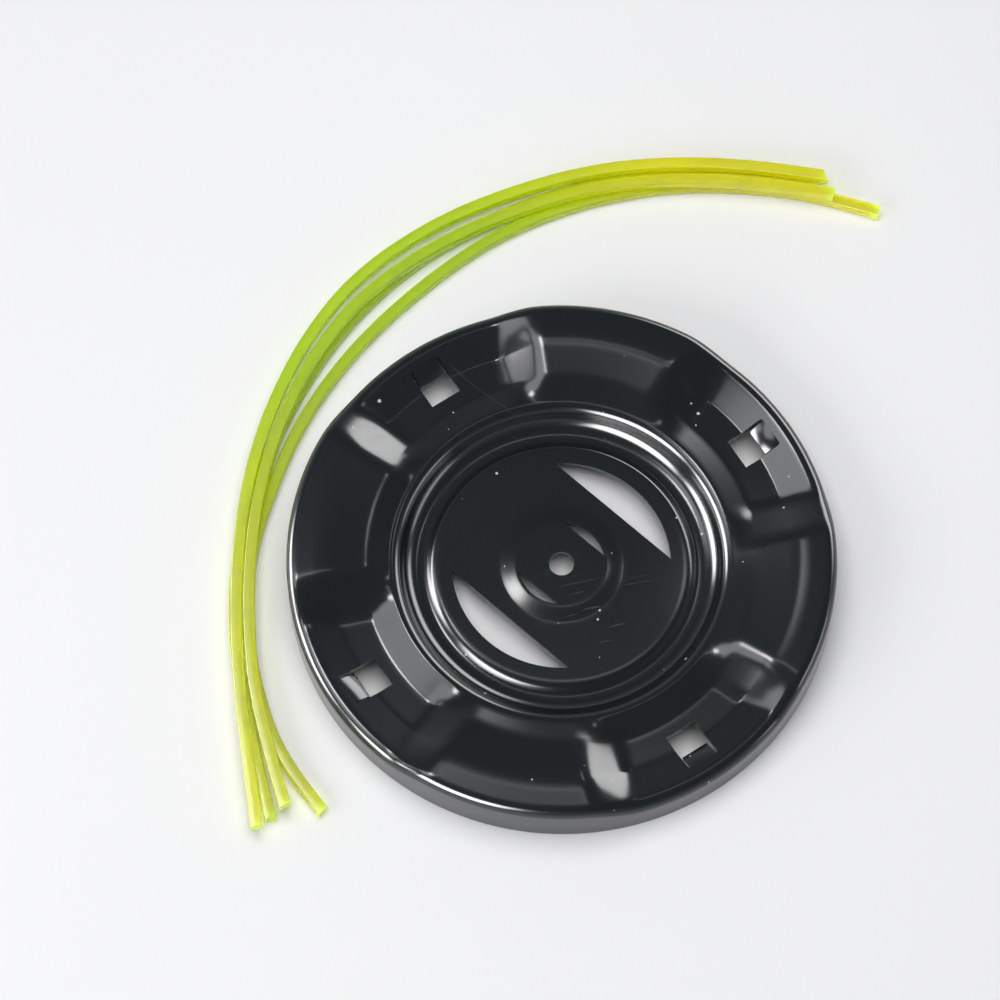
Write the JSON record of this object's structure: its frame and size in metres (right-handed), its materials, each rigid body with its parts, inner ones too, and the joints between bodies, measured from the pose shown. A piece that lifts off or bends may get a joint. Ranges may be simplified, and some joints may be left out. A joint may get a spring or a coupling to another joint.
{
  "type": "string trimmer line set",
  "caption": "Pressed black steel trimmer line disc with square yellow-green nylon lines cut to length, laid beside it.",
  "frame": {"origin": "centre of the bore at the underside of the hub plate", "axes": "+Z along the bore, away from the skirt's foot; the rim windows lie on the diagonals of X and Y"},
  "size_m": [0.155, 0.2087, 0.0143],
  "materials": {
    "disc_paint": "gloss",
    "line_nylon": "satin"
  },
  "bodies": {
    "root": {"line_disc": "disc_paint", "cut_line_1": "line_nylon", "cut_line_2": "line_nylon", "cut_line_3": "line_nylon", "cut_line_4": "line_nylon"}
  },
  "joints": []
}
